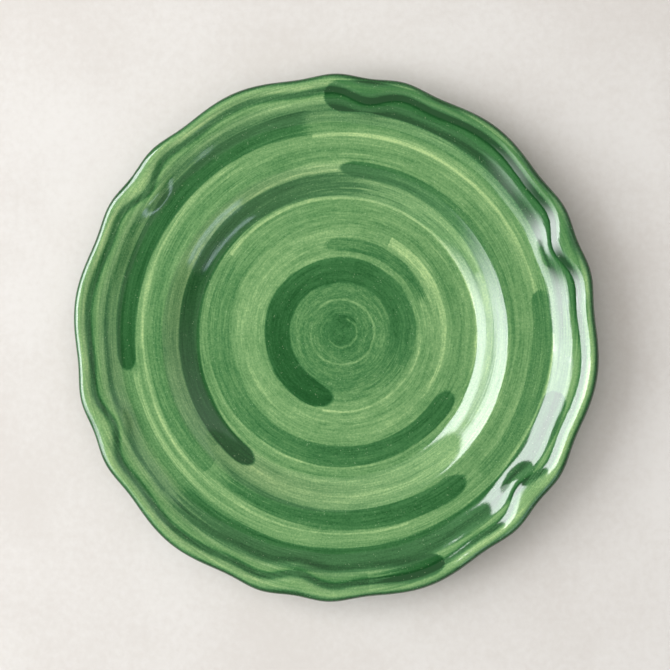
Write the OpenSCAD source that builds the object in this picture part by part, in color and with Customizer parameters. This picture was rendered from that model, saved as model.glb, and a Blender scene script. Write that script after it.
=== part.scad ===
// Scalloped dinner plate: a fired clay body under three coats of glaze.
// The plate lies face up on its foot ring. Z = 0 is the plane that it rests on and
// the Z axis is the axis of the potter's wheel. All sizes are in millimetres.

/* [Plate] */
// Diameter across two opposite wide lobes of the edge
plate_d = 280; // [220:1:360]
// Width of the rim, from the top of the well's wall to the mean edge
rim_w = 45; // [40:1:60]
// Clay thickness of the floor
floor_t = 5; // [3:0.1:8]
// Clay thickness of the wall and the rim
side_t = 4.4; // [3.6:0.1:7]
// Thickness of each coat of glaze
glaze_t = 0.4; // [0.2:0.05:0.8]

/* [Well] */
// Horizontal run of the wall between the floor and the rim
wall_run = 19; // [12:1:30]
// Height of that wall
wall_rise = 10; // [6:0.5:18]
// Shape of the wall: 0 is a straight slope with tight bends, 1 an even S
wall_s = 0.4; // [0:0.1:1]

/* [Rim] */
// Gentle climb of the whole rim, from the wall to the crest
rim_rise = 2; // [0:0.5:8]
// Horizontal run of the cove, the broad upward sweep of the rim
cove_run = 16; // [12:1:22]
// Height of the cove
cove_rise = 5; // [2:0.5:10]
// Horizontal run of the step from the cove up to the crest
step_run = 6.5; // [5:0.5:10]
// Height of the step
step_rise = 2.6; // [1:0.1:6]
// Shape of the step: 0 is a straight slope with tight bends, 1 an even S
step_s = 0.6; // [0:0.1:1]
// Horizontal run of the rounded lip, from the crest to the edge
lip_w = 3.4; // [3:0.1:6]
// Drop of the lip from the crest to the widest point of the edge
lip_drop = 2.8; // [1.5:0.1:3.2]
// Horizontal run of the rounding under the edge
under_lip_w = 4; // [2:0.5:6]

/* [Scallops] */
// Number of petals round the rim
petals = 6; // [3:1:10]
// Swing of the edge at the 1st to the 5th harmonic of the petals
edge_swing = [0.29, 0.64, 0.66, -0.41, 0.10]; // [-1:0.01:1]
// Direction of the first wide lobe, counterclockwise from +X
lobe_angle = 51.6; // [0:0.1:60]
// How far each crease between two petals is pushed in
crease_push = 4.2; // [0:0.1:6]
// Distance of the creases' deepest line from the edge
crease_inset = 8; // [6:0.5:10]
// Sharpness of the creases
crease_power = 11; // [4:1:20]

/* [Foot ring] */
// Height of the foot ring under the floor
foot_h = 3; // [2.5:0.1:6]
// Width of the foot ring
foot_w = 5; // [4:0.5:10]
// Reach of the foot ring's outer side past the floor's edge
foot_reach = 3; // [1:0.5:3.5]
// Chamfer along both edges of the foot ring's sole
foot_chamfer = 0.7; // [0.2:0.1:0.9]
// Height of the bare clay band that the glaze leaves above the sole
bare_h = 1.2; // [1:0.1:1.6]

/* [Hidden] */

// Directions round the plate, a whole number for each petal
steps = petals * floor(120 / petals);
// Rings of points along the face's wall, cove, step and lip
wall_steps = 6;
cove_steps = 4;
step_steps = 5;
lip_steps = 4;
// Rings of points along the back's wall, cove and lip
back_wall_steps = 4;
back_cove_steps = 2;
back_lip_steps = 3;
// How deep the foot ring's root sits in the clay of the floor
foot_root = 2;
// Smoothness of the foot ring
$fn = 120;

petal_angle = 360 / petals;
swing_max = max([for (a = [0 : 0.5 : petal_angle]) edge_wave(a)]);
edge_r = plate_d / 2 - swing_max;
crest_r = edge_r - lip_w;
ledge_r = crest_r - step_run;
cove_r = ledge_r - cove_run;
wall_r = edge_r - rim_w;
floor_r = wall_r - wall_run;
crease_r = edge_r - crease_inset;

foot_out_r = floor_r + foot_reach;
foot_in_r = foot_out_r - foot_w;
// Inner radius of a coat that clings to the foot ring's round outer side
foot_coat_r = foot_out_r / cos(180 / steps);

body_t = side_t + 2 * glaze_t;
floor_z = foot_h + floor_t + glaze_t;
crest_z = floor_z + wall_rise + rim_rise + cove_rise + step_rise;
edge_z = crest_z - lip_drop;

// ---- plan: the scalloped edge -------------------------------------------------

// Mean edge to true edge, in one direction
function edge_wave(a) =
    total([for (n = [0 : len(edge_swing) - 1])
        edge_swing[n] * cos((n + 1) * petals * (a - lobe_angle))]);

// 1 in the middle of a crease between two petals, 0 away from it
function crease(a) =
    pow((1 - cos(petals * (a - lobe_angle))) / 2, crease_power);

// How far x is on its way from lo to hi, from 0 to 1
function way(x, lo, hi) = min(1, max(0, (x - lo) / (hi - lo)));

// An even S from 0 to 1 as x goes from lo to hi
function ease(x, lo, hi) = let (t = way(x, lo, hi)) t * t * (3 - 2 * t);

// A radius of the plain round plate, moved in or out to follow the scallops
function scalloped(r, a) =
    let (follow = ease(r, cove_r, ledge_r),
        push = ease(r, cove_r, crease_r) - ease(r, crease_r, edge_r))
    r + follow * edge_wave(a) - push * crease_push * crease(a);

// ---- section: the curve of the face and of the back ---------------------------

// The slopes that lift the face: from radius, to radius, rise and shape
slopes = [
    [floor_r, wall_r, wall_rise, wall_s],
    [wall_r, crest_r, rim_rise, 1],
    [cove_r, ledge_r, cove_rise, 1],
    [ledge_r, crest_r, step_rise, step_s]];

// Part of a slope's rise gained at t, and how steep it is there. The straight
// kind of slope bends only near its ends, by the 8th power.
function gained(t, shape) =
    shape * t * t * (3 - 2 * t)
    + (1 - shape) * 9 / 8 * (t - (pow(2 * t - 1, 9) + 1) / 18);
function steepness(t, shape) =
    shape * 6 * t * (1 - t) + (1 - shape) * 9 / 8 * (1 - pow(2 * t - 1, 8));

// Sum of a list of numbers
function total(list) = list * [for (n = list) 1];

// Height of the glazed face inside the crest
function face_z(r) = floor_z + total([for (s = slopes)
    s[2] * gained(way(r, s[0], s[1]), s[3])]);

// How much longer an upright cut through a sloping wall is than its thickness
function slant(r) = norm([1, total([for (s = slopes)
    s[2] / (s[1] - s[0]) * steepness(way(r, s[0], s[1]), s[3])])]);

// Thickness from face to back, which grows from the rim's to the floor's
function plate_t(r) =
    body_t + (floor_t - side_t) * (1 - ease(r, floor_r, wall_r));

// Radii that split a run into equal steps, without the first
function split(from_r, to_r, count) =
    [for (i = [1 : count]) from_r + (to_r - from_r) * i / count];

// Section points at a depth under the glazed face, from the floor to the edge
function face_line(depth) = concat(
    [for (r = concat(
            [floor_r],
            split(floor_r, wall_r, wall_steps),
            [cove_r],
            split(cove_r, ledge_r, cove_steps),
            split(ledge_r, crest_r, step_steps)))
        [r, face_z(r) - depth * slant(r)]],
    [for (i = [1 : lip_steps])
        let (q = 90 * i / lip_steps)
        [crest_r + (lip_w - depth) * sin(q), edge_z + (lip_drop - depth) * cos(q)]]);

// Section points at a depth above the glazed back, from the edge to a last radius
function back_line(depth, last_r) = concat(
    [for (i = [back_lip_steps - 1 : -1 : 0])
        let (q = 90 * i / back_lip_steps)
        [edge_r - under_lip_w + (under_lip_w - depth) * sin(q),
            edge_z - (body_t - lip_drop - depth) * cos(q)]],
    [for (r = concat(
            [ledge_r],
            split(ledge_r, cove_r, back_cove_steps),
            [wall_r],
            split(wall_r, last_r, back_wall_steps)))
        [r, back_z(r, depth)]]);

// Height at a depth above the glazed back
function back_z(r, depth) = face_z(r) - (plate_t(r) - depth) * slant(r);

// ---- solids swept round the plate along the scallops ---------------------------

// All points of a section line, direction by direction
function swept(line) = [for (k = [0 : steps - 1])
    let (a = lobe_angle + 360 * k / steps)
    for (p = line) let (r = scalloped(p[0], a)) [r * cos(a), r * sin(a), p[1]]];

// Two triangles for each step along the line and each step round the plate. Where the
// line runs back, from index turn on, they are split along the other diagonal, so that
// two pieces that touch have the same triangles between them.
function skin(count, last, turn) = [for (k = [0 : steps - 1]) for (i = [0 : last])
    let (here = k * count, next = ((k + 1) % steps) * count, j = (i + 1) % count)
    for (t = i < turn
        ? [[here + i, next + i, here + j], [next + i, next + j, here + j]]
        : [[here + i, next + i, next + j], [here + i, next + j, here + j]]) t];

// A solid that reaches the axis: its section line ends at the floor on both sides
module swept_disc(line, turn) {
    count = len(line);
    top = steps * count;
    polyhedron(
        points = concat(swept(line), [[0, 0, line[0][1]], [0, 0, line[count - 1][1]]]),
        faces = concat(skin(count, count - 2, turn), [for (k = [0 : steps - 1])
            let (here = k * count, next = ((k + 1) % steps) * count)
            for (t = [[top, next, here],
                [here + count - 1, next + count - 1, top + 1]]) t]));
}

// A solid round the axis, with a closed section
module swept_ring(line, turn) {
    polyhedron(points = swept(line), faces = skin(len(line), len(line) - 1, turn));
}

// ---- the plate's pieces -----------------------------------------------------------

// Foot ring, with its flat sole on Z = 0 and its root in the clay above
module foot_ring() {
    rotate_extrude()
        polygon([
            [foot_in_r, foot_h + foot_root],
            [foot_in_r, foot_chamfer],
            [foot_in_r + foot_chamfer, 0],
            [foot_out_r - foot_chamfer, 0],
            [foot_out_r, foot_chamfer],
            [foot_out_r, back_z(foot_out_r, glaze_t) + foot_root],
            [floor_r, foot_h + foot_root]]);
}

// Fired clay: floor, wall, scalloped rim and foot ring
module clay_body() {
    section = concat(
        face_line(glaze_t),
        back_line(glaze_t, foot_coat_r),
        [[floor_r, foot_h]]);
    color("peru") union() {
        swept_disc(section, len(section));
        foot_ring();
    }
}

// Painted green coat over the eating face and the top of the lip
module face_glaze() {
    top_side = face_line(0);
    under_side = face_line(glaze_t);
    last = len(under_side) - 1;
    color("seagreen")
        swept_disc(
            concat(top_side, [for (i = [last : -1 : 0]) under_side[i]]),
            len(top_side));
}

// Coat on the back, from the edge in to the foot ring and down its outer side
module back_glaze() {
    outer = concat(
        [[edge_r, edge_z]],
        back_line(0, foot_coat_r + glaze_t),
        [[foot_coat_r + glaze_t, bare_h], [foot_coat_r, bare_h]]);
    inner = back_line(glaze_t, foot_coat_r);
    last = len(inner) - 1;
    color("darkseagreen")
        swept_ring(
            concat(
                outer,
                [for (i = [last : -1 : 0]) inner[i]],
                [[edge_r - glaze_t, edge_z]]),
            len(outer));
}

// Coat in the recess inside the foot ring, on its ceiling and its round side
module foot_recess_glaze() {
    color("mediumseagreen")
        rotate_extrude()
            polygon([
                [0, foot_h],
                [0, foot_h - glaze_t],
                [foot_in_r - glaze_t, foot_h - glaze_t],
                [foot_in_r - glaze_t, bare_h],
                [foot_in_r, bare_h],
                [foot_in_r, foot_h]]);
}

clay_body();
face_glaze();
back_glaze();
foot_recess_glaze();
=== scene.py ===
"""Scalloped green dinner plate: the visual model, built round the plate's solid frame."""
import math

import bpy
import numpy as np
from bpy.props import FloatProperty, FloatVectorProperty, IntProperty, PointerProperty
from bpy.types import Operator, Panel, PropertyGroup
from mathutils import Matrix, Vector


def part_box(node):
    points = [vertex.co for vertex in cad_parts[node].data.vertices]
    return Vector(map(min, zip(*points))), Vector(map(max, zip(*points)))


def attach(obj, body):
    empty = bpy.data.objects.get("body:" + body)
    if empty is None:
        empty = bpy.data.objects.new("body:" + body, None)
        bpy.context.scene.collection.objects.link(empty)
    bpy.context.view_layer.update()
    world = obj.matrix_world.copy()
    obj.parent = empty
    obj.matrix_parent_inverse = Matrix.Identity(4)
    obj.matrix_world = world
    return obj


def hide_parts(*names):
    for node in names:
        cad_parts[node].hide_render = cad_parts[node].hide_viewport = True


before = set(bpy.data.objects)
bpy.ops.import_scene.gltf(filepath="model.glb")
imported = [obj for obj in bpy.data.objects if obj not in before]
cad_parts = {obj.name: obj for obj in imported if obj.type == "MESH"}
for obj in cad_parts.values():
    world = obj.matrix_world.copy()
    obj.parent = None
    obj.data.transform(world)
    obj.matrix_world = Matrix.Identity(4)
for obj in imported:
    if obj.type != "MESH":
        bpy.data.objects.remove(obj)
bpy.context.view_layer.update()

bl_info = {
    "name": "Scalloped Dinner Plate",
    "version": (1, 0, 0),
    "blender": (4, 5, 0),
    "location": "View3D > Sidebar > Plate",
    "description": "Builds a hand-painted green dinner plate with a scalloped rim",
    "category": "Object",
}

MM = 0.001
_, FACE_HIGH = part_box("face_glaze")
BACK_LOW, BACK_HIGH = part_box("back_glaze")
RECESS_LOW, RECESS_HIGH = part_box("foot_recess_glaze")


# ---- sizes and colours ---------------------------------------------------------------


def length(name, description, default):
    """A size in metres that the sidebar shows as a distance."""
    return FloatProperty(name=name, description=description, default=default, min=0.0,
                         precision=5, subtype="DISTANCE", unit="LENGTH")


def colour(name, description, default):
    """A linear colour that the sidebar shows as a swatch."""
    return FloatVectorProperty(name=name, description=description, default=default,
                               size=3, min=0.0, max=1.0, subtype="COLOR")


class PlateShape(PropertyGroup):
    """The plate's section and its scallops."""
    span: length("Span", "Across two opposite wide lobes", 280 * MM)
    rim: length("Rim", "From the top of the well's wall to the mean edge", 45 * MM)
    wall: length("Wall run", "Horizontal run of the well's wall", 19 * MM)
    wall_rise: length("Wall rise", "Height of the well's wall", 10 * MM)
    rim_rise: length("Rim rise", "Gentle climb of the whole rim", 2 * MM)
    cove: length("Cove run", "Horizontal run of the rim's broad upward sweep", 16 * MM)
    cove_rise: length("Cove rise", "Height of that sweep", 5 * MM)
    step: length("Step run", "Horizontal run of the step up to the crest", 6.5 * MM)
    step_rise: length("Step rise", "Height of that step", 2.6 * MM)
    lip: length("Lip", "Horizontal run of the rounded lip", 3.4 * MM)
    lip_drop: length("Lip drop", "From the crest down to the edge", 2.8 * MM)
    under_lip: length("Under lip", "Horizontal run of the rounding under the edge", 4 * MM)
    side: length("Side thickness", "Wall and rim, with both coats", 5.2 * MM)
    floor: length("Floor thickness", "Floor, with both coats", 5.8 * MM)
    coat: length("Coat", "Thickness of a coat of glaze", 0.4 * MM)
    crease: length("Crease", "How far a crease between petals is pushed in", 4.2 * MM)
    crease_inset: length("Crease inset", "From the edge to a crease's deepest line", 8 * MM)
    foot_reach: length("Foot reach", "Foot ring's outer side past the floor's edge", 3 * MM)
    foot_chamfer: length("Foot chamfer", "Along both edges of the foot's sole", 0.7 * MM)
    petals: IntProperty(name="Petals", description="Petals round the rim", default=6, min=3)
    lobe_angle: FloatProperty(name="First lobe", description="Direction of a wide lobe",
                              default=math.radians(51.6), subtype="ANGLE", unit="ROTATION")
    throwing: length("Throwing rings", "Height of the shallow rings in the floor", 0.07 * MM)
    warp: length("Warp", "Slow unevenness of the handmade rim", 0.25 * MM)


class PlateFinish(PropertyGroup):
    """The glaze's colours, from thin to thick pigment, and the clay's."""
    thin: colour("Thin wash", "Glaze where the brush left least", (0.395, 0.560, 0.238))
    light: colour("Light wash", "Single coat of the brush", (0.188, 0.342, 0.137))
    middle: colour("Middle wash", "Overlapping coats", (0.106, 0.242, 0.087))
    deep: colour("Deep wash", "Laden brush", (0.045, 0.155, 0.050))
    darkest: colour("Darkest wash", "Where a stroke stops", (0.018, 0.090, 0.024))
    black: colour("Pooled wash", "Thickest pool of pigment", (0.008, 0.055, 0.013))
    clay: colour("Fired clay", "Bare clay of the foot ring's sole", (0.42, 0.245, 0.145))
    clay_dark: colour("Toasted clay", "Clay where the kiln toasted it", (0.20, 0.095, 0.05))


# ---- the plate's form ----------------------------------------------------------------

# Swing of the edge at each multiple of the petals, from one wide lobe
EDGE_SWING = (0.29 * MM, 0.64 * MM, 0.66 * MM, -0.41 * MM, 0.10 * MM)
CREASE_POWER = 11
# Shape of the wall and of the step: 0 is a straight slope, 1 an even S
WALL_SHAPE = 0.4
STEP_SHAPE = 0.6


def way(x, low, high):
    """How far x is from low to high, from 0 to 1."""
    return np.clip((x - low) / (high - low), 0.0, 1.0)


def ease(x, low, high):
    """An even S from 0 to 1 as x goes from low to high."""
    t = way(x, low, high)
    return t * t * (3 - 2 * t)


class Form:
    """The radii and heights that the pieces share, worked out from the plate's sizes."""

    def __init__(self, shape):
        self.shape = shape
        turn = np.linspace(0, 2 * math.pi / shape.petals, 121)
        self.edge_r = shape.span / 2 - self.edge_wave(turn).max()
        self.crest_r = self.edge_r - shape.lip
        self.ledge_r = self.crest_r - shape.step
        self.cove_r = self.ledge_r - shape.cove
        self.wall_r = self.edge_r - shape.rim
        self.floor_r = self.wall_r - shape.wall
        self.crease_r = self.edge_r - shape.crease_inset
        self.foot_r = self.floor_r + shape.foot_reach
        self.crest_z = FACE_HIGH[2]
        self.edge_z = BACK_HIGH[2]
        self.floor_z = (self.crest_z - shape.wall_rise - shape.rim_rise
                        - shape.cove_rise - shape.step_rise)
        self.slopes = (
            (self.floor_r, self.wall_r, shape.wall_rise, WALL_SHAPE),
            (self.wall_r, self.crest_r, shape.rim_rise, 1.0),
            (self.cove_r, self.ledge_r, shape.cove_rise, 1.0),
            (self.ledge_r, self.crest_r, shape.step_rise, STEP_SHAPE),
        )

    def edge_wave(self, angle):
        """Mean edge to true edge, in one direction."""
        turn = self.shape.petals * (angle - self.shape.lobe_angle)
        return sum(swing * np.cos((n + 1) * turn) for n, swing in enumerate(EDGE_SWING))

    def crease(self, angle):
        """1 in the middle of a crease between two petals, 0 away from it."""
        turn = self.shape.petals * (angle - self.shape.lobe_angle)
        return ((1 - np.cos(turn)) / 2) ** CREASE_POWER

    def scalloped(self, radius, angle):
        """A radius of the plain round plate, moved to follow the scallops."""
        follow = ease(radius, self.cove_r, self.ledge_r)
        push = (ease(radius, self.cove_r, self.crease_r)
                - ease(radius, self.crease_r, self.edge_r))
        return (radius + follow * self.edge_wave(angle)
                - push * self.shape.crease * self.crease(angle))

    def face_z(self, radius):
        """Height of the glazed face inside the crest."""
        height = self.floor_z
        for low, high, rise, kind in self.slopes:
            t = way(radius, low, high)
            straight = 9 / 8 * (t - ((2 * t - 1) ** 9 + 1) / 18)
            height = height + rise * (kind * t * t * (3 - 2 * t) + (1 - kind) * straight)
        return height

    def slant(self, radius):
        """How much longer an upright cut through a slope is than its thickness."""
        slope = 0.0
        for low, high, rise, kind in self.slopes:
            t = way(radius, low, high)
            bent = kind * 6 * t * (1 - t) + (1 - kind) * 9 / 8 * (1 - (2 * t - 1) ** 8)
            slope = slope + rise / (high - low) * bent
        return np.hypot(1, slope)

    def thickness(self, radius):
        """From face to back, growing from the rim's to the floor's."""
        extra = self.shape.floor - self.shape.side
        return self.shape.side + extra * (1 - ease(radius, self.floor_r, self.wall_r))


def spread(low, high, count):
    """Equal steps from low to high, without the first."""
    return [low + (high - low) * i / count for i in range(1, count + 1)]


def face_section(form, depth, fine):
    """Section points under the glazed face, from the axis to the edge."""
    radii = (spread(0, form.floor_r, 3 * fine) + spread(form.floor_r, form.wall_r, 3 * fine)
             + spread(form.wall_r, form.cove_r, fine)
             + spread(form.cove_r, form.ledge_r, 2 * fine)
             + spread(form.ledge_r, form.crest_r, 2 * fine))
    points = [(0.0, form.floor_z - depth)]
    points += [(r, form.face_z(r) - depth * form.slant(r)) for r in radii]
    for q in spread(0, math.pi / 2, fine):
        points.append((form.crest_r + (form.shape.lip - depth) * math.sin(q),
                       form.edge_z + (form.shape.lip_drop - depth) * math.cos(q)))
    return points


def back_section(form, depth, last_r, fine):
    """Section points above the glazed back, from the edge to a last radius."""
    under_r = form.edge_r - form.shape.under_lip
    under_drop = form.shape.side - form.shape.lip_drop
    points = []
    for q in spread(math.pi / 2, 0, fine):
        points.append((under_r + (form.shape.under_lip - depth) * math.sin(q),
                       form.edge_z - (under_drop - depth) * math.cos(q)))
    radii = (spread(under_r, form.ledge_r, fine)
             + spread(form.ledge_r, form.cove_r, 2 * fine)
             + spread(form.cove_r, form.wall_r, fine)
             + spread(form.wall_r, last_r, 3 * fine))
    for r in radii:
        points.append((r, form.face_z(min(r, form.crest_r))
                       - (form.thickness(r) - depth) * form.slant(r)))
    return points


# ---- modelling -----------------------------------------------------------------------


# Steps round the plate, and steps along each part of a section
FACE_TURN, FACE_FINE = 540, 9
BACK_TURN, BACK_FINE = 360, 5
CLAY_TURN, CLAY_FINE = 360, 4
RECESS_TURN, RECESS_FINE = 240, 40
HIDDEN_FINE = 3
# Vertices nearer than this are joined, and anything nearer the axis lies on it
JOIN = 0.002 * MM
ON_AXIS = 0.001 * MM
SMOOTH_ANGLE = math.radians(40)
# Rounding between the recess's side and its ceiling, and the ceiling's turning rings
RECESS_BEND = 1.2 * MM
RING_HEIGHT, RING_LENGTH = 0.06 * MM, 1.7 * MM


def start_afresh():
    """Leave edit mode and select nothing."""
    if bpy.context.object and bpy.context.object.mode != "OBJECT":
        bpy.ops.object.mode_set(mode="OBJECT")
    bpy.ops.object.select_all(action="DESELECT")


def turned(name, section, steps, closed):
    """A wire laid along a section and spun once round the Z axis."""
    start_afresh()
    bpy.ops.mesh.primitive_circle_add(vertices=len(section), radius=form().floor_r,
                                      location=(0, 0, 0))
    piece = bpy.context.object
    piece.name = piece.data.name = name
    for vertex, (radius, height) in zip(piece.data.vertices, section):
        vertex.co = (radius, 0.0, height)
    bpy.ops.object.mode_set(mode="EDIT")
    if not closed:
        select_edge_on_axis(piece)
        bpy.ops.mesh.delete(type="EDGE")
    bpy.ops.mesh.select_all(action="SELECT")
    bpy.ops.mesh.spin(steps=steps, angle=2 * math.pi, center=(0, 0, 0), axis=(0, 0, 1))
    bpy.ops.mesh.select_all(action="SELECT")
    bpy.ops.mesh.remove_doubles(threshold=JOIN)
    bpy.ops.mesh.normals_make_consistent(inside=False)
    bpy.ops.object.mode_set(mode="OBJECT")
    return piece


def select_edge_on_axis(piece):
    """Select only the wire's edge whose two ends lie on the Z axis."""
    bpy.ops.mesh.select_mode(type="EDGE")
    bpy.ops.mesh.select_all(action="DESELECT")
    bpy.ops.object.mode_set(mode="OBJECT")
    for edge in piece.data.edges:
        ends = [piece.data.vertices[i].co for i in edge.vertices]
        edge.select = all(math.hypot(end.x, end.y) < ON_AXIS for end in ends)
    bpy.ops.object.mode_set(mode="EDIT")


def points_of(piece):
    """All of a piece's vertices as rows of x, y, z."""
    flat = np.empty(3 * len(piece.data.vertices))
    piece.data.vertices.foreach_get("co", flat)
    return flat.reshape(-1, 3)


def scallop(piece):
    """Push a turned piece out and in along the petals, and keep its plain radius."""
    plate = form()
    points = points_of(piece)
    plain = np.hypot(points[:, 0], points[:, 1])
    angle = np.arctan2(points[:, 1], points[:, 0])
    radius = plate.scalloped(plain, angle)
    points[:, 0] = radius * np.cos(angle)
    points[:, 1] = radius * np.sin(angle)
    points[:, 2] += hand_lift(plate, plain, angle, points[:, 2])
    piece.data.vertices.foreach_set("co", points.ravel())
    keep_radius(piece, plain)
    piece.data.update()


def keep_radius(piece, plain):
    """Give a piece its plain radii in millimetres, for its glaze to follow."""
    keep = piece.data.attributes.new("plain_radius", "FLOAT", "POINT")
    keep.data.foreach_set("value", plain / MM)


def hand_lift(plate, plain, angle, height):
    """Throwing rings on top of the floor and a slow warp of the rim, both very shallow."""
    rings = (np.sin(plain / (1.9 * MM) + 0.6 * np.sin(angle))
             + 0.6 * np.sin(plain / (3.1 * MM) - 0.8 * np.cos(angle)))
    flat = ease(plain, 6 * MM, 20 * MM) * (1 - ease(plain, plate.floor_r, plate.wall_r))
    flat = flat * ease(height, plate.floor_z - 4 * MM, plate.floor_z - plate.shape.coat)
    warp = np.sin(2 * angle + 0.7) + 0.5 * np.sin(5 * angle + 2.1)
    rim = ease(plain, plate.wall_r, plate.ledge_r)
    return plate.shape.throwing * rings * flat - plate.shape.warp * (0.5 + 0.3 * warp) * rim


def form():
    """The form of the plate at the sidebar's present sizes."""
    return Form(bpy.context.scene.plate_shape)


def finish(piece, material, node):
    """Shade a piece, give it its finish and put it in its CAD node's place."""
    start_afresh()
    piece.select_set(True)
    bpy.context.view_layer.objects.active = piece
    bpy.ops.object.shade_smooth_by_angle(angle=SMOOTH_ANGLE)
    piece.data.materials.clear()
    piece.data.materials.append(material)
    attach(piece, "root")
    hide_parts(node)


# ---- material helpers ----------------------------------------------------------------


class Recipe:
    """Adds and joins the nodes of one material or node group."""

    def __init__(self, tree):
        self.tree = tree
        self.tree.nodes.clear()

    def add(self, kind, inputs=None, **settings):
        """A node with its settings, and its inputs joined or set."""
        node = self.tree.nodes.new("ShaderNode" + kind)
        for name, value in settings.items():
            setattr(node, name, value)
        for name, value in (inputs or {}).items():
            self.feed(value, node.inputs[name])
        return node

    def feed(self, value, socket):
        """Join a socket to an input, or set the input to a plain value."""
        if isinstance(value, bpy.types.NodeSocket):
            self.tree.links.new(value, socket)
        else:
            socket.default_value = value

    def math(self, operation, *values, clamp=False):
        """One Math node."""
        node = self.add("Math", operation=operation, use_clamp=clamp)
        for socket, value in zip(node.inputs, values):
            self.feed(value, socket)
        return node.outputs[0]

    def between(self, value, low, high, to_low=0.0, to_high=1.0):
        """A smooth step from to_low to to_high as value goes from low to high."""
        node = self.add("MapRange", interpolation_type="SMOOTHSTEP", inputs={
            "Value": value, "From Min": low, "From Max": high,
            "To Min": to_low, "To Max": to_high})
        return node.outputs["Result"]

    def blend(self, low, high, share):
        """low where share is 0, high where it is 1."""
        node = self.add("Mix", data_type="FLOAT")
        self.feed(share, node.inputs[0])
        self.feed(low, node.inputs[2])
        self.feed(high, node.inputs[3])
        return node.outputs[0]

    def blend_colours(self, low, high, share):
        """One colour over another."""
        node = self.add("Mix", data_type="RGBA")
        self.feed(share, node.inputs[0])
        self.feed(low, node.inputs[6])
        self.feed(high, node.inputs[7])
        return node.outputs[2]

    def noise(self, vector, scale, detail=2.0, roughness=0.5):
        """Soft noise between 0 and 1."""
        node = self.add("TexNoise", inputs={
            "Vector": vector, "Scale": scale, "Detail": detail, "Roughness": roughness})
        return node.outputs["Fac"]

    def vary(self, value, textures, share=1.0):
        """A value moved up and down by each (texture, amount)."""
        for texture, amount in textures:
            shift = self.math("MULTIPLY", self.math("SUBTRACT", texture, 0.5), amount)
            value = self.math("ADD", value, self.math("MULTIPLY", shift, share))
        return value

    def clamped(self, value):
        """A value kept between 0 and 1."""
        return self.math("MAXIMUM", self.math("MINIMUM", value, 1.0), 0.0)

    def relief(self, height, strength, distance):
        """The normal of a shallow relief."""
        node = self.add("Bump", inputs={
            "Height": height, "Strength": strength, "Distance": distance})
        return node.outputs[0]

    def output(self, shader):
        """End the material with its shader."""
        result = self.add("OutputMaterial")
        self.feed(shader.outputs[0], result.inputs["Surface"])

    def ramp(self, value, stops):
        """A ramp of (place, colour or number) stops."""
        node = self.add("ValToRGB", inputs={"Fac": value})
        line = node.color_ramp
        while len(line.elements) < len(stops):
            line.elements.new(1.0)
        for element, (place, tone) in zip(line.elements, stops):
            element.position = place
            rgb = tone if isinstance(tone, (tuple, list)) else (tone, tone, tone)
            element.color = (*rgb, 1.0)
        return node.outputs["Color"]


def new_material(name):
    """An empty material and its recipe."""
    material = bpy.data.materials.new(name)
    material.use_nodes = True
    return material, Recipe(material.node_tree)


# Where the brush's wheel turned, a little off the plate's own centre
WHEEL_CENTRE = (3.3 * MM, 2.6 * MM, 0.0)
PLATE_CENTRE = (0.0, 0.0, 0.0)


def wheel_nodes(recipe, centre):
    """Radius in millimetres, bearing in degrees and a streak vector about a centre."""
    place = recipe.add("TexCoord").outputs["Object"]
    moved = recipe.add("VectorMath", operation="SUBTRACT")
    recipe.feed(place, moved.inputs[0])
    recipe.feed(centre, moved.inputs[1])
    axes = recipe.add("SeparateXYZ", inputs={"Vector": moved.outputs[0]}).outputs
    across = recipe.math("SQRT", recipe.math(
        "ADD", recipe.math("POWER", axes["X"], 2.0), recipe.math("POWER", axes["Y"], 2.0)))
    radius = recipe.math("MULTIPLY", across, 1 / MM)
    bearing = recipe.math("DEGREES", recipe.math("ARCTAN2", axes["Y"], axes["X"]))
    safe = recipe.math("MAXIMUM", across, 0.01 * MM)
    streak = recipe.add("CombineXYZ", inputs={
        "X": recipe.math("DIVIDE", axes["X"], safe),
        "Y": recipe.math("DIVIDE", axes["Y"], safe),
        "Z": radius})
    return place, radius, bearing, streak.outputs[0]


# ---- the brush stroke ----------------------------------------------------------------

STROKE_INPUTS = (
    ("Tone", 0.0), ("Radius", 0.0), ("Bearing", 0.0), ("Start", 0.0), ("Sweep", 90.0),
    ("Inner at start", 10.0), ("Inner at end", 10.0), ("Outer at start", 20.0),
    ("Outer at end", 20.0), ("Fade", 1.0), ("Roundness", 1.0), ("Pigment", 0.9),
    ("Cover at start", 0.5), ("Cover at end", 0.9), ("Softness", 0.6), ("Bristles", 0.5),
)


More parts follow.
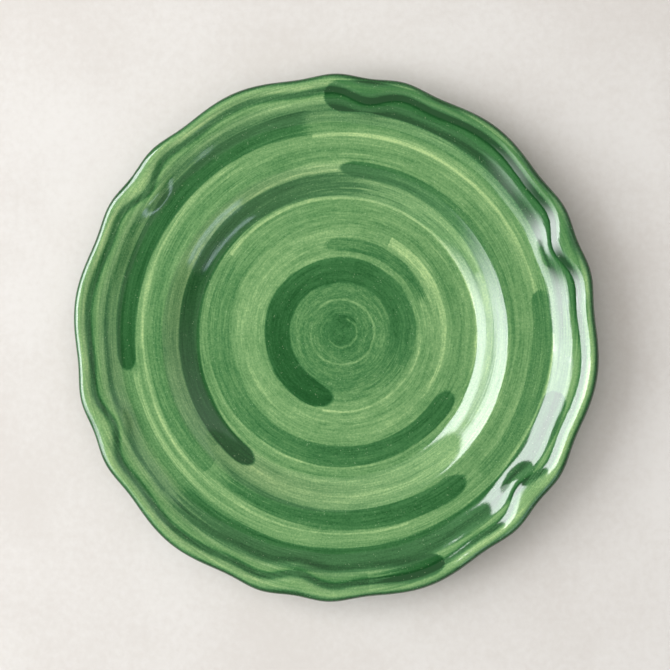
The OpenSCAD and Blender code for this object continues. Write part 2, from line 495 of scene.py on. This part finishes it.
def stroke_group():
    """A node group that lays one curved brush stroke over the tone so far."""
    group = bpy.data.node_groups.new("brush stroke", "ShaderNodeTree")
    for name, default in STROKE_INPUTS:
        socket = group.interface.new_socket(name, in_out="INPUT",
                                            socket_type="NodeSocketFloat")
        socket.default_value = default
    group.interface.new_socket("Tone", in_out="OUTPUT", socket_type="NodeSocketFloat")
    recipe = Recipe(group)
    given = recipe.tree.nodes.new("NodeGroupInput").outputs
    along = recipe.math("FLOORED_MODULO",
                        recipe.math("SUBTRACT", given["Bearing"], given["Start"]), 360.0)
    share = recipe.math("DIVIDE", along, given["Sweep"], clamp=True)
    inner = recipe.blend(given["Inner at start"], given["Inner at end"], share)
    outer = recipe.blend(given["Outer at start"], given["Outer at end"], share)
    middle = recipe.math("MULTIPLY", recipe.math("ADD", inner, outer), 0.5)
    half = recipe.math("MULTIPLY", recipe.math("SUBTRACT", outer, inner), 0.5)
    side = recipe.math("DIVIDE", recipe.math("SUBTRACT", given["Radius"], middle), half)
    left = recipe.math("MULTIPLY", recipe.math(
        "RADIANS", recipe.math("SUBTRACT", given["Sweep"], along)), given["Radius"])
    tip = recipe.math("SUBTRACT", 1.0, recipe.math(
        "DIVIDE", left, recipe.math("MULTIPLY", half, given["Roundness"])))
    tip = recipe.math("MAXIMUM", tip, 0.0)
    reach = recipe.math("SQRT", recipe.math(
        "ADD", recipe.math("POWER", side, 2.0), recipe.math("POWER", tip, 2.0)))
    soft = recipe.math("DIVIDE", given["Softness"], half)
    inside = recipe.between(reach, recipe.math("SUBTRACT", 1.0, soft),
                            recipe.math("ADD", 1.0, soft), 1.0, 0.0)
    lag = recipe.math("MULTIPLY", recipe.math("SUBTRACT", given["Bristles"], 0.62),
                      recipe.math("MULTIPLY", given["Fade"], 3.0))
    begun = recipe.between(recipe.math("ADD", along, lag), 0.0, given["Fade"])
    loaded = recipe.math("ADD", given["Bristles"], recipe.math("MULTIPLY", share, 0.5))
    covered = recipe.between(loaded, 0.34, 0.62, 0.45, 1.0)
    cover = recipe.blend(given["Cover at start"], given["Cover at end"], share)
    mask = recipe.math("MULTIPLY", recipe.math("MULTIPLY", inside, begun), cover)
    mask = recipe.math("MULTIPLY", mask, covered)
    tone = recipe.blend(given["Tone"], given["Pigment"], mask)
    result = recipe.tree.nodes.new("NodeGroupOutput")
    recipe.feed(tone, result.inputs["Tone"])
    return group


# Each stroke turns counterclockwise: (start and sweep in degrees), (inner and outer
# radius at the start), (the same at the end) in millimetres from the wheel's centre,
# pigment from 0 pale to 1 dark, (cover at the start and at the end), fade in degrees
# and how round its end is.
STROKES = (
    # medium washes that lie under the rest
    ((30, 75), (4.5, 10.5), (5.0, 10.0), 0.86, (0.60, 0.75), 12, 1.0),
    ((100, 126), (97.0, 101.5), (95.5, 105.0), 0.60, (0.20, 0.80), 25, 0.3),
    ((92, 130), (88.5, 92.0), (88.0, 93.0), 0.44, (0.30, 0.85), 30, 0.2),
    ((235, 42), (127.5, 136.5), (127.5, 137.0), 0.72, (0.20, 0.55), 20, 0.4),
    ((100, 122), (123.8, 125.8), (125.0, 127.0), 0.66, (0.50, 0.55), 10, 0.3),
    ((95, 90), (124.5, 131.0), (128.0, 133.0), 0.50, (0.25, 0.40), 25, 0.3),
    # pale lines where the brush missed
    ((325, 180), (71.0, 73.0), (72.4, 74.0), 0.05, (0.55, 0.75), 30, 0.1),
    ((150, 182), (73.0, 74.0), (72.4, 73.4), 0.14, (0.35, 0.65), 12, 0.5),
    ((298, 124), (54.6, 55.7), (53.2, 57.8), 0.07, (0.50, 0.85), 30, 0.05),
    ((10, 88), (104.6, 106.2), (104.4, 106.4), 0.02, (0.85, 0.70), 1, 0.3),
    ((98, 192), (105.2, 106.6), (106.4, 107.8), 0.08, (0.40, 0.70), 15, 0.5),
    ((188, 110), (110.3, 113.8), (110.8, 113.4), 0.08, (0.75, 0.15), 4, 0.8),
    ((300, 60), (111.4, 113.0), (111.6, 113.4), 0.06, (0.50, 0.85), 15, 0.8),
    ((160, 330), (16.2, 17.2), (17.6, 18.8), 0.22, (0.60, 0.60), 20, 1.0),
    ((180, 250), (7.2, 8.0), (7.8, 9.0), 0.32, (0.60, 0.60), 20, 1.0),
    ((200, 200), (22.4, 23.0), (22.8, 23.6), 0.36, (0.50, 0.40), 20, 1.0),
    ((255, 95), (42.4, 43.4), (41.8, 43.0), 0.04, (0.90, 0.30), 2, 0.5),
    # dark strokes, from the middle of the plate outwards
    ((290, 333), (26.0, 39.6), (28.6, 42.6), 0.93, (0.30, 1.00), 40, 2.2),
    ((14, 87), (43.4, 49.6), (44.6, 51.6), 0.72, (0.90, 0.60), 9, 2.4),
    ((144, 188), (61.0, 73.0), (61.2, 71.9), 0.79, (0.18, 1.00), 5, 1.9),
    ((45, 191), (71.8, 84.6), (79.8, 89.2), 0.96, (0.38, 1.00), 40, 1.9),
    ((310, 140), (80.0, 92.5), (83.6, 91.6), 0.78, (0.25, 0.95), 35, 2.4),
    ((226, 85), (94.0, 103.2), (94.9, 106.6), 0.76, (0.60, 1.00), 7, 1.9),
    ((313, 59), (101.4, 110.2), (102.4, 113.0), 0.64, (0.50, 0.95), 3, 1.2),
    ((96, 94), (106.6, 118.8), (110.8, 120.6), 0.88, (0.60, 0.96), 4, 1.6),
    ((222, 123), (115.4, 129.0), (112.6, 124.6), 0.84, (0.66, 0.88), 4, 1.0),
    ((345, 108.5), (114.2, 130.5), (117.0, 133.0), 0.92, (0.60, 0.98), 20, 1.2),
    ((272, 23), (125.6, 137.4), (125.4, 136.4), 1.00, (0.50, 0.95), 9, 1.3),
)


def lay_strokes(recipe, tone, radius, bearing, bristles):
    """Every stroke in turn, each over the last."""
    group = stroke_group()
    for sweep, start, end, pigment, cover, fade, roundness in STROKES:
        node = recipe.add("Group", node_tree=group, inputs={
            "Tone": tone, "Radius": radius, "Bearing": bearing,
            "Start": float(sweep[0]), "Sweep": float(sweep[1]),
            "Inner at start": start[0], "Outer at start": start[1],
            "Inner at end": end[0], "Outer at end": end[1], "Fade": float(fade),
            "Roundness": roundness, "Pigment": pigment,
            "Cover at start": cover[0], "Cover at end": cover[1], "Bristles": bristles})
        tone = node.outputs["Tone"]
    return tone


# Tone of the ground wash against the radius from the wheel's centre, in millimetres
GROUND = (
    (0, 0.66), (3, 0.74), (7, 0.72), (11, 0.62), (14, 0.56), (17, 0.58), (21, 0.55),
    (26, 0.58), (31, 0.55), (36, 0.44), (42, 0.36), (47, 0.34), (53, 0.32), (58, 0.37),
    (62, 0.45), (66, 0.44), (70, 0.40), (77, 0.44), (80, 0.27), (83, 0.36), (86.5, 0.25),
    (90, 0.24), (93, 0.43), (98, 0.42), (103, 0.37), (107, 0.35), (112, 0.50), (118, 0.50),
    (122, 0.44), (126, 0.40), (131, 0.50), (137, 0.52),
)
WIDEST = 145.0


def ground_wash(recipe, radius):
    """The thin wash under all the strokes."""
    stops = [(place / WIDEST, tone) for place, tone in GROUND]
    return recipe.ramp(recipe.math("DIVIDE", radius, WIDEST), stops)


# ---- materials -----------------------------------------------------------------------


def streaks(recipe, streak, around, across, detail, roughness=0.5):
    """Noise drawn out round the wheel: few changes around it, many across it."""
    node = recipe.add("VectorMath", operation="MULTIPLY")
    recipe.feed(streak, node.inputs[0])
    node.inputs[1].default_value = (around, around, across)
    return recipe.noise(node.outputs[0], 1.0, detail, roughness)


def wash_colours(recipe, tone):
    """Tone to colour, from thin wash to pooled pigment."""
    look = bpy.context.scene.plate_finish
    return recipe.ramp(tone, (
        (0.0, tuple(look.thin)), (0.25, tuple(look.light)), (0.45, tuple(look.middle)),
        (0.66, tuple(look.deep)), (0.87, tuple(look.darkest)), (1.0, tuple(look.black))))


def painted_glaze():
    """Green brushwork under clear, glossy glaze."""
    material, recipe = new_material("painted face glaze")
    place, radius, bearing, streak = wheel_nodes(recipe, WHEEL_CENTRE)
    wobble = streaks(recipe, streak, 1.6, 0.10, 3.0)
    wobble = recipe.math("MULTIPLY", recipe.math("SUBTRACT", wobble, 0.5), 2.2)
    bristle = streaks(recipe, streak, 2.5, 1.6, 4.0, 0.65)
    ragged = recipe.math("MULTIPLY", recipe.math("SUBTRACT", bristle, 0.5), 1.1)
    brushed = recipe.math("ADD", recipe.math("ADD", radius, wobble), ragged)
    swing = recipe.math("ADD", bearing, recipe.math("MULTIPLY", ragged, 1.2))

    bristles = streaks(recipe, streak, 2.2, 1.1, 4.0, 0.65)
    tone = ground_wash(recipe, brushed)
    tone = lay_strokes(recipe, tone, brushed, swing, bristles)

    fine = streaks(recipe, streak, 3.0, 2.4, 5.0, 0.7)
    broken = streaks(recipe, streak, 7.0, 1.0, 3.0, 0.6)
    broad = streaks(recipe, streak, 1.2, 0.35, 3.0, 0.6)
    grain = recipe.noise(place, 1000.0, 2.0, 0.6)
    cloud = recipe.noise(place, 60.0, 3.0, 0.6)
    uneven = recipe.between(tone, 0.50, 0.95, 1.15, 0.55)
    tone = recipe.vary(tone, ((fine, 0.50), (broken, 0.30), (broad, 0.48), (grain, 0.42),
                              (cloud, 0.14)), uneven)

    plain = recipe.add("Attribute", attribute_name="plain_radius").outputs["Fac"]
    plate = form()
    # Painted shade in the step and under the lip and a painted highlight on the crest, mixed
    # with glaze pooling
    tone = pooling_and_painted_shade(recipe, tone, plain, plate)
    tone = recipe.clamped(tone)
    colour_now = wash_colours(recipe, tone)

    speckle = recipe.add("TexVoronoi", feature="F1", inputs={
        "Vector": place, "Scale": 850.0, "Randomness": 1.0})
    dots = recipe.between(speckle.outputs["Distance"], 0.10, 0.30, 1.0, 0.0)
    pick = recipe.between(recipe.noise(place, 420.0, 1.0), 0.56, 0.66)
    pale = recipe.math("MULTIPLY", recipe.math("MULTIPLY", dots, pick), 0.32)
    colour_now = recipe.blend_colours(colour_now, (0.45, 0.62, 0.36, 1.0), pale)

    colour_now = bare_edge(recipe, colour_now, plain, place, plate)
    glossy(recipe, colour_now, place, streak)
    return material


# Bands that follow the scallops: distance in from the edge, half width, both in
# millimetres, and the tone added there, darker when positive and lighter when negative
# The dark bands under the lip and in the step are partly painted shade, the light band on the
# crest partly a painted highlight; the rest is glaze pooling and running thin.
POOLING_AND_SHADE_BANDS = ((0.4, 1.9, 0.42), (4.4, 2.3, -0.26), (8.2, 2.2, 0.28), (12.6, 2.8, -0.10),
                (17.2, 2.0, 0.14))


def pooling_and_painted_shade(recipe, tone, plain, plate):
    """Lighter over the crest, darker in the step and under the lip: glaze pooling plus
    painted shade and highlight.
    """
    inset = recipe.math("SUBTRACT", plate.edge_r / MM, plain)
    for middle, half, amount in POOLING_AND_SHADE_BANDS:
        away = recipe.math("ABSOLUTE", recipe.math("SUBTRACT", inset, middle))
        band = recipe.between(away, 0.3 * half, 1.2 * half, amount, 0.0)
        tone = recipe.math("ADD", tone, band)
    return tone


def bare_edge(recipe, under, plain, place, plate):
    """The clay's brown showing through where the glaze runs thin along the edge."""
    look = bpy.context.scene.plate_finish
    edge = plate.edge_r / MM
    patchy = recipe.noise(place, 90.0, 3.0, 0.6)
    line = recipe.between(plain, edge - 0.30, edge - 0.04)
    worn = recipe.math("MULTIPLY", line, recipe.between(patchy, 0.30, 0.62, 0.25, 0.85))
    return recipe.blend_colours(under, (*look.clay_dark, 1.0), worn)


def glossy(recipe, tint, place, streak):
    """Finish a glaze: even gloss, with faint orange peel, wheel lines and pinholes."""
    lines = streaks(recipe, streak, 1.5, 1.3, 3.0, 0.55)
    peel = recipe.noise(place, 210.0, 2.0, 0.5)
    sag = recipe.noise(place, 26.0, 2.0, 0.5)
    pits = recipe.add("TexVoronoi", feature="F1", inputs={"Vector": place, "Scale": 170.0})
    hole = recipe.between(pits.outputs["Distance"], 0.0, 0.10, -1.0, 0.0)
    height = recipe.math("MULTIPLY", lines, 0.35)
    for texture, amount in ((peel, 0.10), (sag, 0.9), (hole, 0.10)):
        height = recipe.math("ADD", height, recipe.math("MULTIPLY", texture, amount))
    normal = recipe.relief(height, 0.30, 0.35 * MM)
    gloss = recipe.between(recipe.noise(place, 45.0, 3.0, 0.6), 0.3, 0.7, 0.055, 0.10)
    shader = recipe.add("BsdfPrincipled", inputs={
        "Base Color": tint, "Roughness": gloss, "Normal": normal})
    shader.inputs["IOR"].default_value = 1.7
    recipe.output(shader)


def washed_glaze(name, ground):
    """One plain green wash, for the back and for the recess inside the foot ring."""
    material, recipe = new_material(name)
    place, _, _, streak = wheel_nodes(recipe, PLATE_CENTRE)
    broad = streaks(recipe, streak, 1.2, 0.30, 3.0, 0.6)
    fine = streaks(recipe, streak, 2.5, 1.8, 5.0, 0.7)
    grain = recipe.noise(place, 700.0, 2.0, 0.6)
    tone = recipe.vary(ground, ((broad, 0.55), (fine, 0.35), (grain, 0.14)))
    plain = recipe.add("Attribute", attribute_name="plain_radius").outputs["Fac"]
    plate = form()
    under = recipe.between(plain, plate.edge_r / MM - 1.5, plate.edge_r / MM - 0.4)
    tone = recipe.math("ADD", tone, recipe.math("MULTIPLY", under, 0.25))
    tone = recipe.clamped(tone)
    tint = wash_colours(recipe, tone)
    tint = bare_edge(recipe, tint, plain, place, plate)
    glossy(recipe, tint, place, streak)
    return material


def bare_clay():
    """Matt fired clay with fine grog, rubbed smooth and toasted in patches along its turning
    marks.
    """
    look = bpy.context.scene.plate_finish
    material, recipe = new_material("bare fired clay")
    place, _, _, streak = wheel_nodes(recipe, PLATE_CENTRE)
    turning = streaks(recipe, streak, 2.0, 3.0, 4.0, 0.6)
    mottle = recipe.noise(place, 120.0, 4.0, 0.6)
    toast = recipe.between(recipe.math("ADD", turning, mottle), 0.85, 1.25)
    tint = recipe.blend_colours((*look.clay, 1.0), (*look.clay_dark, 1.0),
                                recipe.math("MULTIPLY", toast, 0.55))
    grog = recipe.add("TexVoronoi", feature="F1", inputs={"Vector": place, "Scale": 900.0})
    fleck = recipe.between(grog.outputs["Distance"], 0.10, 0.25, 1.0, 0.0)
    pick = recipe.between(recipe.noise(place, 500.0, 1.0), 0.56, 0.62)
    tint = recipe.blend_colours(tint, (0.09, 0.05, 0.03, 1.0),
                                recipe.math("MULTIPLY", fleck, pick))
    grit = recipe.noise(place, 1500.0, 3.0, 0.6)
    height = recipe.math("ADD", recipe.math("MULTIPLY", turning, 0.6), grit)
    normal = recipe.relief(height, 0.45, 0.15 * MM)
    rough = recipe.between(mottle, 0.3, 0.7, 0.72, 0.90)
    shader = recipe.add("BsdfPrincipled", inputs={
        "Base Color": tint, "Roughness": rough, "Normal": normal})
    recipe.output(shader)
    return material


def plaster():
    """Pale, faintly mottled table top."""
    material, recipe = new_material("pale plaster")
    place = recipe.add("TexCoord").outputs["Object"]
    cloud = recipe.noise(place, 7.0, 5.0, 0.6)
    grain = recipe.noise(place, 260.0, 3.0, 0.6)
    share = recipe.between(recipe.blend(cloud, grain, 0.3), 0.36, 0.64)
    tint = recipe.blend_colours((0.550, 0.526, 0.500, 1.0), (0.608, 0.593, 0.572, 1.0), share)
    normal = recipe.relief(recipe.blend(cloud, grain, 0.5), 0.25, 1.0 * MM)
    shader = recipe.add("BsdfPrincipled", inputs={
        "Base Color": tint, "Normal": normal})
    shader.inputs["Roughness"].default_value = 0.85
    recipe.output(shader)
    return material


# ---- operators -----------------------------------------------------------------------


class PLATE_OT_face_glaze(Operator):
    """Build the painted coat over the eating face and the lip"""
    bl_idname = "plate.face_glaze"
    bl_label = "Face Glaze"
    bl_options = {"REGISTER", "UNDO"}

    def execute(self, context):
        plate = form()
        under = face_section(plate, plate.shape.coat, HIDDEN_FINE)
        section = face_section(plate, 0.0, FACE_FINE) + under[::-1]
        piece = turned("painted_face", section, FACE_TURN, closed=False)
        scallop(piece)
        finish(piece, painted_glaze(), "face_glaze")
        return {"FINISHED"}


class PLATE_OT_back_glaze(Operator):
    """Build the coat on the back, from the edge in to the foot ring"""
    bl_idname = "plate.back_glaze"
    bl_label = "Back Glaze"
    bl_options = {"REGISTER", "UNDO"}

    def execute(self, context):
        plate = form()
        coat = plate.shape.coat
        outer = back_section(plate, 0.0, plate.foot_r + coat, BACK_FINE)
        inner = back_section(plate, coat, plate.foot_r, HIDDEN_FINE)
        low = BACK_LOW[2]
        section = ([(plate.edge_r, plate.edge_z)] + outer
                   + [(plate.foot_r + coat, low + coat), (plate.foot_r + coat / 2, low),
                      (plate.foot_r, low)]
                   + inner[::-1] + [(plate.edge_r - coat, plate.edge_z)])
        piece = turned("back_coat", section, BACK_TURN, closed=True)
        scallop(piece)
        finish(piece, washed_glaze("back glaze", 0.46), "back_glaze")
        return {"FINISHED"}


class PLATE_OT_recess_glaze(Operator):
    """Build the coat in the recess inside the foot ring"""
    bl_idname = "plate.recess_glaze"
    bl_label = "Foot Recess Glaze"
    bl_options = {"REGISTER", "UNDO"}

    def execute(self, context):
        plate = form()
        coat = plate.shape.coat
        side_r, low, top = RECESS_HIGH[0], RECESS_LOW[2], RECESS_HIGH[2]
        section = [(0.0, top), (side_r, top), (side_r, low), (side_r - coat / 2, low),
                   (side_r - coat, low + coat)]
        for q in spread(0, math.pi / 2, 6):
            section.append((side_r - coat - RECESS_BEND * (1 - math.cos(q)),
                            top - coat - RECESS_BEND * (1 - math.sin(q))))
        for r in spread(side_r - coat - RECESS_BEND, 0, RECESS_FINE):
            ring = RING_HEIGHT * (1 + math.sin(r / RING_LENGTH))
            section.append((r, top - coat - ring))
        section[-1] = (0.0, section[-1][1])
        piece = turned("foot_recess_coat", section, RECESS_TURN, closed=False)
        points = points_of(piece)
        keep_radius(piece, np.hypot(points[:, 0], points[:, 1]))
        finish(piece, washed_glaze("recess glaze", 0.42), "foot_recess_glaze")
        return {"FINISHED"}


class PLATE_OT_clay(Operator):
    """Build the fired clay body, which shows only on the sole of its foot ring"""
    bl_idname = "plate.clay"
    bl_label = "Clay Body"
    bl_options = {"REGISTER", "UNDO"}

    def execute(self, context):
        plate = form()
        coat, chamfer = plate.shape.coat, plate.shape.foot_chamfer
        foot_in_r, recess_z = RECESS_HIGH[0], RECESS_HIGH[2]
        section = (face_section(plate, coat, CLAY_FINE)
                   + back_section(plate, coat, plate.foot_r, CLAY_FINE)
                   + [(plate.foot_r, chamfer), (plate.foot_r - chamfer, 0.0),
                      (foot_in_r + chamfer, 0.0), (foot_in_r, chamfer),
                      (foot_in_r, recess_z), (0.0, recess_z)])
        piece = turned("fired_body", section, CLAY_TURN, closed=False)
        scallop(piece)
        finish(piece, bare_clay(), "clay_body")
        return {"FINISHED"}


# Distance from the rim to the camera, how far it leans from straight overhead and how
# far it is moved aside to centre the plate
CAMERA_REACH = 0.832
CAMERA_LEAN = math.radians(5.5)
CAMERA_SHIFT = (1.75 * MM, 1.45 * MM)
CAMERA_LENS = 85.0
DAYLIGHT = (0.965, 0.985, 1.0)
BLUE_SKY = (0.72, 0.86, 1.0)
WARM_WHITE = (1.0, 0.955, 0.915)
PALE_GREEN = (0.97, 1.0, 0.97)


def aimed(bearing, height, reach):
    """A place and a turn that faces the plate from there, both angles in degrees."""
    bearing, height = math.radians(bearing), math.radians(height)
    place = (reach * math.cos(height) * math.cos(bearing),
             reach * math.cos(height) * math.sin(bearing),
             reach * math.sin(height))
    return place, (0.0, math.pi / 2 - height, bearing)


def softbox(name, bearing, height, reach, size, power, tint):
    """A rectangular light that faces the plate."""
    place, turn = aimed(bearing, height, reach)
    bpy.ops.object.light_add(type="AREA", location=place, rotation=turn)
    light = bpy.context.object
    light.name = name
    light.data.shape = "RECTANGLE"
    light.data.size, light.data.size_y = size
    light.data.energy = power
    light.data.color = tint


def stage_card(name, place, turn, size, material, lights=True, mirrored=True):
    """A card unseen by the camera, which may only light or only be mirrored."""
    bpy.ops.mesh.primitive_plane_add(size=1.0, location=place, rotation=turn)
    card = bpy.context.object
    card.name = name
    card.scale = (*size, 1.0)
    card.visible_camera = False
    card.visible_diffuse = card.visible_shadow = lights
    card.visible_glossy = mirrored
    card.data.materials.append(material)


def glowing_card(name, bearing, height, reach, size, glow, tint, **kind):
    """A card that faces the plate, with the glow at each of its two sides."""
    material, recipe = new_material(name)
    across = recipe.add("SeparateXYZ", inputs={
        "Vector": recipe.add("TexCoord").outputs["Object"]}).outputs["Y"]
    strength = recipe.between(across, -0.5, 0.5, *glow)
    shader = recipe.add("Emission", inputs={"Color": (*tint, 1.0), "Strength": strength})
    recipe.output(shader)
    place, turn = aimed(bearing, height, reach)
    stage_card(name, place, turn, size, material, **kind)


def dark_ceiling():
    """A black card over the camera, which keeps the flat floor's reflection dark."""
    material, recipe = new_material("black card")
    shader = recipe.add("BsdfPrincipled")
    shader.inputs["Base Color"].default_value = (0.02, 0.02, 0.02, 1.0)
    shader.inputs["Roughness"].default_value = 0.9
    recipe.output(shader)
    stage_card("ceiling_card", (-0.10, 0.0, 1.15), (0.0, 0.0, 0.0), (0.82, 0.78), material,
               lights=False)


class PLATE_OT_stage(Operator):
    """Lay the table, the lights and the camera"""
    bl_idname = "plate.stage"
    bl_label = "Stage"
    bl_options = {"REGISTER", "UNDO"}

    def execute(self, context):
        start_afresh()
        bpy.ops.mesh.primitive_plane_add(size=3.0, location=(0, 0, 0))
        table = context.object
        table.name = "table_top"
        table.data.materials.append(plaster())

        softbox("window", 166, 41.5, 2.4, (1.38, 1.60), 37.0, DAYLIGHT)
        glowing_card("window_pane", 166, 41.5, 2.42, (1.38, 1.60), (3.6, 3.6), DAYLIGHT,
                     lights=False)
        softbox("sill", 177, 21, 2.4, (0.38, 2.03), 7.5, DAYLIGHT)
        softbox("small_window", -42, 42, 1.5, (0.18, 0.80), 1.2, BLUE_SKY)
        glowing_card("curtain", 202, 41.5, 2.35, (1.38, 1.25), (8.6, 0.2), DAYLIGHT)
        glowing_card("far_wall", 6, 48, 1.35, (0.70, 1.45), (0.05, 0.65), PALE_GREEN)
        glowing_card("white_ceiling", 0, 90, 2.5, (3.0, 3.0), (1.95, 1.95), WARM_WHITE,
                     mirrored=False)
        dark_ceiling()
        world = bpy.data.worlds.new("soft room")
        world.use_nodes = True
        sky = world.node_tree.nodes["Background"]
        sky.inputs["Color"].default_value = (*WARM_WHITE, 1.0)
        sky.inputs["Strength"].default_value = 0.30
        context.scene.world = world
        context.scene.view_settings.view_transform = "Standard"

        bpy.ops.object.camera_add(
            location=(CAMERA_REACH * math.sin(CAMERA_LEAN) + CAMERA_SHIFT[0], CAMERA_SHIFT[1],
                      FACE_HIGH[2] + CAMERA_REACH * math.cos(CAMERA_LEAN)),
            rotation=(0.0, CAMERA_LEAN, 0.0))
        camera = context.object
        camera.name = "overhead_camera"
        camera.data.lens = CAMERA_LENS
        camera.data.clip_start = 0.01
        context.scene.camera = camera
        return {"FINISHED"}


class PLATE_PT_sidebar(Panel):
    """Sizes, colours and pieces of the plate"""
    bl_idname = "PLATE_PT_sidebar"
    bl_label = "Dinner Plate"
    bl_space_type = "VIEW_3D"
    bl_region_type = "UI"
    bl_category = "Plate"

    def draw(self, context):
        for group in (context.scene.plate_shape, context.scene.plate_finish):
            box = self.layout.box()
            for name in group.bl_rna.properties.keys():
                if name not in ("rna_type", "name"):
                    box.prop(group, name)
        for piece in PIECES:
            self.layout.operator(piece.bl_idname)


PIECES = (PLATE_OT_clay, PLATE_OT_face_glaze, PLATE_OT_back_glaze, PLATE_OT_recess_glaze,
          PLATE_OT_stage)
CLASSES = (PlateShape, PlateFinish, *PIECES, PLATE_PT_sidebar)


def register():
    """Add the classes and the scene's settings."""
    for cls in CLASSES:
        bpy.utils.register_class(cls)
    bpy.types.Scene.plate_shape = PointerProperty(type=PlateShape)
    bpy.types.Scene.plate_finish = PointerProperty(type=PlateFinish)


def unregister():
    """Take them away again."""
    del bpy.types.Scene.plate_finish
    del bpy.types.Scene.plate_shape
    for cls in reversed(CLASSES):
        bpy.utils.unregister_class(cls)


def main():
    """Build every piece in turn, then lay the stage."""
    register()
    bpy.ops.plate.clay()
    bpy.ops.plate.face_glaze()
    bpy.ops.plate.back_glaze()
    bpy.ops.plate.recess_glaze()
    bpy.ops.plate.stage()


if __name__ == "__main__":
    main()
